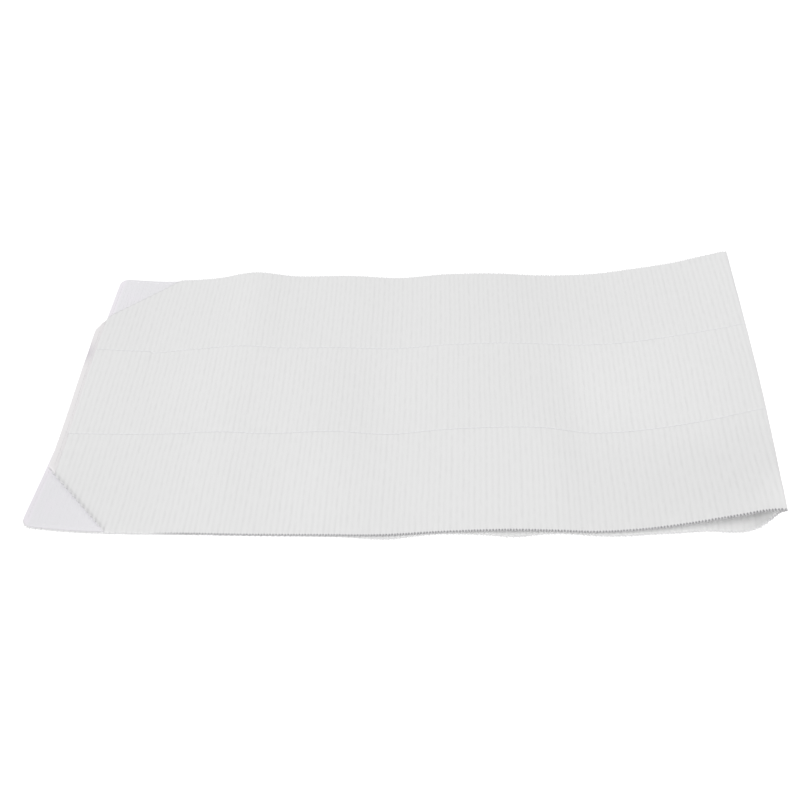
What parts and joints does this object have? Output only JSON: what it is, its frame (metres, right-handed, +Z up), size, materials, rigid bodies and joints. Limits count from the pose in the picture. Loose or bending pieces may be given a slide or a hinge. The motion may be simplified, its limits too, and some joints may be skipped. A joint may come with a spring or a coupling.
{
  "type": "postpartum belt",
  "caption": "Postpartum belt of ribbed white elastic bands sewn edge to edge, folded in half and laid flat, with cut corners on one end and a hook panel on the other.",
  "frame": {"origin": "middle of the folded belt's footprint, on the surface that it lies on", "axes": "+X along the belt towards its fold, +Y across the belt to its back edge, +Z up off the surface"},
  "size_m": [0.428, 0.233, 0.0278],
  "materials": {
    "elastic": "ribbed knitted elastic, matte white",
    "hook_tape": "smooth lilac-white hook tape",
    "binding_tape": "plain pinkish-white tape, matte"
  },
  "bodies": {
    "root": {"elastic_front_upper": "elastic", "elastic_front_lower": "elastic", "elastic_middle_upper": "elastic", "elastic_middle_lower": "elastic", "elastic_back_upper": "elastic", "elastic_back_lower": "elastic", "hook_panel": "hook_tape", "end_binding": "binding_tape"}
  },
  "joints": []
}
